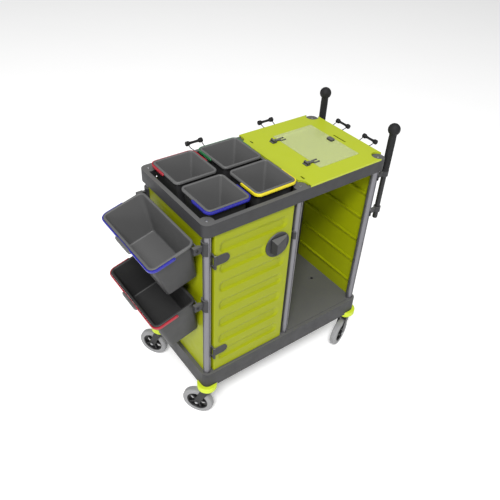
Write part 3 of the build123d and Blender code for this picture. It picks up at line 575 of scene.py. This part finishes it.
def lock():
    """The round plate and the wedge grip on the door."""
    low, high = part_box("door_escutcheon")
    centre = (low + high) / 2
    r = (high.x - low.x) / 2
    thick = high.y - low.y
    bore = 5.08 * MM
    profile = [(bore, 0), (bore, thick - 0.4 * MM), (bore + 0.4 * MM, thick - 1.2 * MM)]
    profile += [(r - 7.5 * MM, thick - 1.2 * MM), (r - 6.6 * MM, thick)]
    profile += arc((r - 3 * MM, thick - 3 * MM), 3 * MM, 90, 0, 6) + [(r, 0)]
    front = Matrix.Translation((centre.x, high.y, centre.z)) @ Matrix.Rotation(radians(90), 4, "X")
    verts, faces = placed(turned_part(profile, 96, closed=True), front)
    plate = add_piece("lock_plate", verts, faces, "door", "grey_plastic")
    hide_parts("door_escutcheon")

    grip_low, grip_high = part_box("door_knob")
    seat = low.y - 0.3 * MM
    nose = grip_low.y
    left, right = grip_low.x, grip_high.x
    ridge = left + 14 * MM
    outline = [(left, seat), (right, seat), (right - 12 * MM, seat - 10 * MM), (ridge, nose)]
    fall = 18 * MM / (seat - nose)
    top = [Vector((x, y, grip_high.z - (seat - y) * fall)) for x, y in outline]
    foot = [Vector((x, y, grip_low.z)) for x, y in outline]
    wedge = add_piece("lock_wedge", *shell([foot, top]), "knob", "grey_plastic", 25)
    bevelled(wedge, 2.0 * MM)
    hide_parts("door_knob")
    # a black sheet on the grip's left side: painted shade standing in for the shadow in a finger recess
    start = Vector((left, seat, 0))
    way = Vector((ridge, nose, 0)) - start
    out = Vector((way.y, -way.x, 0)).normalized() * 0.35 * MM
    near, far = start + way * 0.06, start + way * 0.94
    points = [near + out, far + out, far - out * 6, near - out * 6]
    shade_patch = [(point.x, point.y) for point in points]
    edge = 2.5 * MM
    top = [Vector((x, y, grip_high.z - edge - (seat - y) * fall)) for x, y in shade_patch]
    foot = [Vector((x, y, grip_low.z + edge)) for x, y in shade_patch]
    made = add_piece("lock_recess_shade", *shell([foot, top]), "knob", "black_plastic", 25)
    bevelled(made, 0.25 * MM, 2)


# ---- Buckets ----
RIM_W = 8 * MM
RIM_T = 10 * MM
WALL = 2.5 * MM
BAIL_GAP = 0.8 * MM
BAIL_T = 5 * MM
BAIL_H = 12 * MM
SMALL_CORNER = 14 * MM
SMALL_TAPER = 13 * MM
LARGE_HALF = 98.5 * MM
LARGE_DEPTH = 196 * MM
LARGE_CORNER = 20 * MM
LARGE_TAPER = 19 * MM
PIVOT_DROP = 2.5 * MM + BAIL_H / 2


def bucket_part(half_x, half_y, depth, taper, corner):
    """A bucket with its rim's top at Z = 0: out and up from the foot, over the rim and down inside."""
    steps = []
    foot = RIM_W + taper
    bend = 9 * MM
    for r, z in arc((0, 0), bend, -90, 0, 5):
        steps.append((foot + bend - r, -depth + bend + z, corner - 6 * MM))
    steps.append((RIM_W + 0.6 * MM, -RIM_T - 6 * MM, corner))
    steps.append((RIM_W, -4 * MM, corner))
    lip = 2 * MM
    under = corner + RIM_W - lip
    steps += [(lip + 0.6 * MM, -3.4 * MM, under), (lip, -4 * MM, under)]
    steps += [(lip, -RIM_T + 0.3 * MM, under), (lip - 0.4 * MM, -RIM_T, under)]
    steps += [(0.4 * MM, -RIM_T, corner + RIM_W), (0, -RIM_T + 0.4 * MM, corner + RIM_W)]
    steps += [(0, -2.6 * MM, corner + RIM_W), (0.5 * MM, -1.2 * MM, corner + RIM_W)]
    steps += [(1.8 * MM, -0.35 * MM, corner + RIM_W - 1.8 * MM), (4.2 * MM, 0, corner + RIM_W - 4.2 * MM)]
    inside = RIM_W + WALL
    steps += [(inside - 2.6 * MM, -0.2 * MM, corner - WALL + 2.6 * MM)]
    steps += [(inside - 0.7 * MM, -1.3 * MM, corner - WALL + 0.7 * MM), (inside, -3.4 * MM, corner - WALL)]
    inner_foot = foot + WALL
    bend_in = 8 * MM
    floor = -depth + WALL
    for r, z in arc((0, 0), bend_in, 0, -90, 5):
        steps.append((inner_foot + bend_in - r, floor + bend_in + z, corner - 6 * MM - WALL))
    rings = []
    for inset, z, radius in steps:
        radius = max(2 * MM, radius)
        rings.append(rounded_ring(half_x - inset, half_y - inset, radius, z, 9))
    return shell(rings)


def bail_part(span, reach, corner, drop):
    """A flat band round three sides of the rim, on pivots at X = 0, with the long run at X = -reach."""
    line = []
    end = BAIL_H / 2
    turn = corner - BAIL_T / 2
    y = span / 2 - BAIL_T / 2
    x = -reach + BAIL_T / 2
    for i in range(7):
        line.append((end * cos(radians(90 * i / 6)), -y))
    for i in range(1, 5):
        line.append(((x + turn) * i / 4, -y))
    for i in range(1, 13):
        angle = radians(-90 - 90 * i / 12)
        line.append((x + turn + turn * cos(angle), -y + turn + turn * sin(angle)))
    half_line = len(line)
    count = 12
    for i in range(1, count):
        line.append((x, -y + turn + (2 * y - 2 * turn) * i / count))
    line += [(px, -py) for px, py in reversed(line[:half_line])]
    rings = []
    for px, py in line:
        tall = BAIL_H / 2
        if px > 0:
            tall = sqrt(max(0.0, end ** 2 - px ** 2))
        if px > 0:
            out = Vector((0, -1 if py < 0 else 1, 0))
        else:
            centre = Vector((max(px, x + turn), max(-y + turn, min(y - turn, py)), 0))
            out = Vector((px, py, 0)) - centre
            out = out.normalized() if out.length > 1e-7 else Vector((-1, 0, 0))
        ring = []
        round_r = min(0.9 * MM, tall * 0.5 + 0.05 * MM)
        for u, v in section(BAIL_T / 2, max(tall, 0.15 * MM), round_r):
            ring.append(Vector((px, py, drop)) + out * u + Vector((0, 0, v)))
        rings.append(ring)
    return shell(rings)


def section(half_u, half_v, radius):
    """A rounded rectangle's points, three to a corner."""
    points = []
    for quarter, (su, sv) in enumerate(((1, 1), (-1, 1), (-1, -1), (1, -1))):
        for i in range(3):
            angle = (quarter + i / 2) * pi / 2
            u = su * (half_u - radius) + radius * cos(angle)
            v = sv * (half_v - radius) + radius * sin(angle)
            points.append((u, v))
    return points


def pin_part(start, stop, radius):
    """A short round pin with rounded ends between two points."""
    way = stop - start
    length = way.length
    soft = min(radius * 0.4, length / 4)
    profile = [(radius - soft, 0), (radius, soft), (radius, length - soft), (radius - soft, length)]
    turn = way.to_track_quat("Z", "Y").to_matrix().to_4x4()
    return placed(turned_part(profile, 20), Matrix.Translation(start) @ turn)


def bucket(name, place, half_x, half_y, depth, taper, corner, colour, look=None):
    """A bucket and its bail. place puts the rim's top, with the bail's long run towards -X."""
    tub = bucket_part(half_x, half_y, depth, taper, corner)
    studs = []
    for side in (-1, 1):
        near = Vector((0, side * (half_y - 2 * MM), -PIVOT_DROP))
        far = Vector((0, side * (half_y + BAIL_GAP + BAIL_T), -PIVOT_DROP))
        studs.append(pin_part(near, far, 3 * MM))
    verts, faces = placed(merged(tub, *studs), place)
    made = add_piece(f"{name}_tub", verts, faces, f"{name}_pail", "bucket_grey", 42, look)
    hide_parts(f"{name}_bucket")
    span = 2 * (half_y + BAIL_GAP + BAIL_T)
    reach = half_x + BAIL_GAP + BAIL_T
    band = bail_part(span, reach, corner + RIM_W + BAIL_GAP + BAIL_T, -PIVOT_DROP)
    verts, faces = placed(band, place)
    made = add_piece(f"{name}_handle", verts, faces, f"{name}_pail_bail", f"{colour}_plastic", 42)
    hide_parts(f"{name}_bail")


def grip_part(reach):
    """The grip on a large bucket's bail: rounded outside, flat towards the rim, with finger ridges."""
    rings = []
    half = 62 * MM
    count = 60
    for i in range(count + 1):
        share = -1 + 2 * i / count
        swell = sqrt(max(0.04, 1 - share ** 8)) * (0.95 + 0.05 * cos(share * 7 * 2 * pi))
        ring = []
        for k in range(24):
            angle = 2 * pi * k / 24
            out = 8 * MM * swell * cos(angle)
            high = 8 * MM * swell * sin(angle)
            x = -reach - 2 * MM - max(out, -BAIL_T - 1.4 * MM)
            ring.append(Vector((x, half * share, high - PIVOT_DROP)))
        rings.append(ring)
    return shell(rings)


def buckets():
    for colour, front_row in (("blue", True), ("yellow", True), ("red", False), ("green", False)):
        low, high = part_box(f"{colour}_bucket")
        centre = (low + high) / 2
        # the bail's long run is to the front in the front row and to the back in the back row
        x_axis = Vector((0, 1, 0)) if front_row else Vector((0, -1, 0))
        y_axis = Vector((-1, 0, 0)) if front_row else Vector((1, 0, 0))
        place = turned(Vector((centre.x, centre.y, high.z)), x_axis, y_axis)
        half_x = (high.y - low.y) / 2
        half_y = (high.x - low.x) / 2 - BAIL_GAP - BAIL_T
        bucket(colour, place, half_x, half_y, high.z - low.z, SMALL_TAPER, SMALL_CORNER, colour)
    # inside tones are painted light and shade: the upper bucket's inside painted pale, the lower one's
    # dark as painted shadow under the upper bucket
    for level, colour, inside in (("upper", "blue", 90), ("lower", "red", 50)):
        low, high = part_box(f"{level}_bucket")
        up = joint_axis(f"{level}_pail_lift")
        rim = joint_place(f"{level}_bail_swing") + up * PIVOT_DROP
        along = Vector((0, 1, 0))
        place = turned(Vector((rim.x, (low.y + high.y) / 2, rim.z)), along.cross(up), along)
        half_y = (high.y - low.y) / 2 - BAIL_GAP - BAIL_T
        look = bucket_paint(f"{level}_bucket_look", inside, up)
        bucket(level, place, LARGE_HALF, half_y, LARGE_DEPTH, LARGE_TAPER, LARGE_CORNER, colour, look)
        verts, faces = placed(grip_part(LARGE_HALF + BAIL_GAP + BAIL_T), place)
        add_piece(f"{level}_grip", verts, faces, f"{level}_pail_bail", "bucket_grey", 42)


# ---- Casters ----
WHEEL_R = 75 * MM
TYRE_BORE = 52 * MM
HALF_WHEEL = 16 * MM
SHOULDER_R = 9 * MM
SPOKES = 5
# distance out, half width and half thickness, in mm
SPOKE_STATIONS = ((11, 6.2, 11), (18, 4.6, 9), (30, 4.2, 7.4), (40, 5.4, 8.4), (46.5, 8.0, 10))


def tyre_part():
    """A grey tread with rounded shoulders, a groove each side and a step down to the hub."""
    profile = []
    for side in (1, -1):
        run = [(TYRE_BORE, 15 * MM), (TYRE_BORE + 1.5 * MM, HALF_WHEEL)]
        run += [(60 * MM, HALF_WHEEL), (61 * MM, 15.3 * MM)]
        run += [(63 * MM, 15.3 * MM), (64 * MM, 15.9 * MM)]
        run += arc((WHEEL_R - SHOULDER_R, HALF_WHEEL - SHOULDER_R), SHOULDER_R, 80, 12, 6)
        groove = WHEEL_R - 0.8 * MM
        run += [(WHEEL_R, 5 * MM), (groove, 4.4 * MM), (groove, 3.6 * MM), (WHEEL_R, 3 * MM)]
        if side < 0:
            run = [(r, -y) for r, y in reversed(run)]
        profile += run
    return turned_part(profile, 96, closed=True)


def hub_part():
    """A black hub: a rim, five spokes and a boss."""
    rim = [(TYRE_BORE, -13 * MM), (TYRE_BORE, 13 * MM), (50.5 * MM, 14.2 * MM), (48 * MM, 14.2 * MM)]
    rim += [(46.4 * MM, 12.6 * MM), (45.4 * MM, 9 * MM), (45 * MM, 0), (45.4 * MM, -9 * MM)]
    rim += [(46.4 * MM, -12.6 * MM), (48 * MM, -14.2 * MM), (50.5 * MM, -14.2 * MM)]
    parts = [turned_part(rim, 80, closed=True)]
    bore = 4.08 * MM
    step = [(9 * MM, 17 * MM), (9.6 * MM, 15.8 * MM), (12 * MM, 15.2 * MM), (13 * MM, 14 * MM)]
    boss = [(bore, -17 * MM), (bore, 17 * MM)] + step + [(r, -z) for r, z in reversed(step)]
    parts.append(turned_part(boss, 40, closed=True))
    for i in range(SPOKES):
        rings = []
        for r, half_w, half_t in SPOKE_STATIONS:
            ring = []
            for u, v in section(half_w * MM, half_t * MM, 1.6 * MM):
                ring.append(Vector((r * MM, u, v)))
            rings.append(ring)
        spoke = shell(rings)
        parts.append(placed(spoke, Matrix.Rotation(2 * pi * i / SPOKES, 4, "Z")))
    return merged(*parts)


def wheel(corner):
    low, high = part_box(f"tyre_{corner}")
    centre = (low + high) / 2
    axis = joint_axis(f"wheel_spin_{corner}")
    place = Matrix.Translation(centre) @ axis.to_track_quat("Z", "Y").to_matrix().to_4x4()
    verts, faces = placed(tyre_part(), place)
    made = add_piece(f"tread_{corner}", verts, faces, f"wheel_{corner}", "grey_tyre")
    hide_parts(f"tyre_{corner}")
    verts, faces = placed(hub_part(), place)
    made = add_piece(f"spokes_{corner}", verts, faces, f"wheel_{corner}", "black_plastic")
    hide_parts(f"hub_{corner}")


def bumpers():
    """Lime buffers under the base corners: a wide ring over a narrower dome."""
    low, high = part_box("caster_bumpers")
    tall = high.z - low.z
    bore = 6.5 * MM
    profile = [(bore, 0), (27 * MM, 0)] + arc((30 * MM, 7 * MM), 7 * MM, -90, 0, 5)
    profile += [(37.4 * MM, 13 * MM), (39 * MM, 14.4 * MM), (43.5 * MM, 14.8 * MM)]
    profile += arc((43 * MM, 17.8 * MM), 3 * MM, -70, 0, 4)
    profile += [(46 * MM, tall - 4 * MM)] + arc((43 * MM, tall - 3 * MM), 3 * MM, 0, 90, 4)
    profile += [(bore, tall)]
    parts = []
    for x in (LEFT, RIGHT):
        for y in (FRONT, BACK):
            parts.append(placed(turned_part(profile, 64, closed=True), Matrix.Translation((x, y, low.z))))
    made = add_piece("corner_buffers", *merged(*parts), "chassis", "lime_rubber")
    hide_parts("caster_bumpers")


# ---- Handles ----

def grips():
    """Black sleeves with a ball end, finely ribbed where the hand goes."""
    low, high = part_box("handle_grips")
    x = (low.x + high.x) / 2
    tall = high.z - low.z
    ball = 27 * MM
    sleeve = 17 * MM
    bore = 12.05 * MM
    profile = [(bore, 0), (sleeve - 1 * MM, 0), (sleeve, 1 * MM)]
    profile += [(sleeve, 6 * MM), (sleeve - 0.8 * MM, 7 * MM)]
    ribs = 26
    start, stop = 14 * MM, tall - 2 * ball - 14 * MM
    for i in range(ribs):
        z = start + (stop - start) * i / ribs
        pitch = (stop - start) / ribs
        crest = sleeve - 0.1 * MM
        profile += [(sleeve - 0.8 * MM, z), (crest, z + pitch * 0.25), (crest, z + pitch * 0.7)]
    centre = tall - ball
    neck = degrees(asin((sleeve - 0.6 * MM) / ball))
    profile += [(sleeve - 0.6 * MM, stop + 2 * MM)]
    profile += arc((0, centre), ball, -90 + neck, 89, 16)
    pole = 0.3 * MM
    profile += [(pole, centre + ball - 0.02 * MM), (pole, centre + ball - 2 * MM)]
    profile += [(bore, centre - 20 * MM)]
    parts = []
    for y in (FRONT, BACK):
        parts.append(placed(turned_part(profile, 48, closed=True), Matrix.Translation((x, y, low.z))))
    made = add_piece("hand_grips", *merged(*parts), "chassis", "black_rubber", 30)
    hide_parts("handle_grips")


# ---- Small parts ----

def screw_part(radius, rise):
    """A pan head with a cross recess, its seat at Z = 0."""
    rings = []
    count = 40
    shares = (1.0, 1.0, 0.94, 0.84, 0.72, 0.6, 0.5, 0.4, 0.28, 0.14)
    heights = (0, 0.45, 0.72, 0.88, 0.96, 1.0, 1.02, 1.03, 1.04, 1.04)
    for share, tall in zip(shares, heights):
        ring = []
        for i in range(count):
            angle = 2 * pi * i / count
            x, y = radius * share * cos(angle), radius * share * sin(angle)
            z = rise * tall
            if share < 0.65:
                across = min(abs(x), abs(y))
                z -= 0.7 * rise * (1 - ease((across - 0.09 * radius) / (0.05 * radius)))
            ring.append(Vector((x, y, z)))
        rings.append(ring)
    return shell(rings)


def tray_screws():
    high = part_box("tray_screws")[1]
    rise = 2.4 * MM
    parts = []
    for x in (LEFT, MIDDLE, RIGHT):
        for y in (FRONT, BACK):
            parts.append(placed(screw_part(5.5 * MM, rise), Matrix.Translation((x, y, high.z - rise))))
    made = add_piece("tray_screw_heads", *merged(*parts), "chassis", "steel")
    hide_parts("tray_screws")


def bracket_screws():
    """A dark screw in the front of each front bracket, and in the back of each back one."""
    low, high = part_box("bucket_brackets")
    half_head = 8 * MM
    parts = []
    for z in (high.z - 27 * MM, low.z + 33 * MM):
        for y, side in ((FRONT - half_head, 1), (BACK + half_head, -1)):
            face = Matrix.Translation((LEFT - 47 * MM, y, z))
            face = face @ Matrix.Rotation(side * radians(90), 4, "X")
            parts.append(placed(screw_part(6.5 * MM, 2.2 * MM), face))
    add_piece("bracket_screws", *merged(*parts), "chassis", "black_plastic")


def flap_screws():
    """Two small screws in each flap hinge's prongs."""
    low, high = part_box("flap_hinge_leaves")
    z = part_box("clear_flap")[1].z + 2.5 * MM
    parts = []
    for y in (low.y + 12.5 * MM, high.y - 12.5 * MM):
        for side in (-9, 9):
            place = Matrix.Translation((high.x - 5 * MM, y + side * MM, z))
            parts.append(placed(screw_part(2.6 * MM, 1.2 * MM), place))
    add_piece("flap_screws", *merged(*parts), "flap", "black_plastic")


CLIP_R = 11 * MM
CLIPS_BACK = (275 * MM, 670 * MM)  # from the left posts' axis
CLIPS_RIGHT = (142 * MM, 320 * MM)  # from the front posts' axis


def clip_part():
    """A rubber dog-bone: two grooved knobs and a waist, turned about Z."""
    half = 42 * MM
    end = [(0.4, 0), (8.0, 0)] + arc((8.0, 3.0), 3.0, -80, 0, 4)
    end += [(11, 6.5), (9.8, 7.4), (9.8, 9.0), (11, 9.9), (10.8, 14.0), (9.2, 17.0)]
    end += [(7.0, 19.0), (6.2, 24.0), (5.6, 34.0)]
    profile = [(r * MM, z * MM - half) for r, z in end]
    profile += [(5.5 * MM, 0)] + [(r, -z) for r, z in reversed(profile)]
    return turned_part(profile, 32)


def clips():
    """The rubber clips on the wire holders, two along the back and two along the right end."""
    low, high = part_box("holder_clips")
    z = (low.z + high.z) / 2
    y_back = high.y - CLIP_R
    x_right = high.x - CLIP_R
    places = []
    for x in (LEFT + along for along in CLIPS_BACK):
        places.append(Matrix.Translation((x, y_back, z)) @ Matrix.Rotation(radians(90), 4, "Y"))
    for y in (FRONT + along for along in CLIPS_RIGHT):
        places.append(Matrix.Translation((x_right, y, z)) @ Matrix.Rotation(radians(90), 4, "X"))
    parts = [placed(clip_part(), place) for place in places]
    made = add_piece("holder_rubbers", *merged(*parts), "chassis", "black_rubber")
    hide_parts("holder_clips")


# ---- Carried-over nodes ----

def carried():
    """Every CAD node gets its slot's look, and the sharp ones get rounded edges."""
    for node in frame["nodes"].values():
        for slot in node.material_slots:
            name = slot.material.name.split(".")[0] if slot.material else "grey_plastic"
            slot.material = LOOKS.get(name, LOOKS["grey_plastic"])
    widths = {
        "base_tray": 3.0, "top_tray": 2.2, "left_end_panel": 1.4, "right_end_panel": 2.4,
        "middle_partition": 2.0, "back_panels": 1.2, "bucket_shelf": 1.0, "top_cover": 1.6,
        "clear_flap": 0.7, "flap_pull": 0.4, "flap_hinge_plates": 0.6, "flap_hinge_leaves": 0.6,
        "door_hinge_straps": 1.0, "door_hinge_brackets": 1.0, "door_strike": 0.8, "latch_cam": 0.8,
        "bucket_brackets": 1.6, "hanger_bars": 0.7, "handle_clamps": 1.6, "frame_posts": 0.4,
        "push_bars": 0.3,
    }
    for corner in CORNERS:
        widths[f"fork_{corner}"] = 1.2
        widths[f"axle_{corner}"] = 0.5
    for node, width in widths.items():
        soften(node, width * MM)


CORNERS = ("front_left", "front_right", "back_left", "back_right")
LOOKS = paints()
camera()
studio()
carried()
door()
lock()
buckets()
for corner_name in CORNERS:
    wheel(corner_name)
bumpers()
grips()
tray_screws()
bracket_screws()
flap_screws()
clips()
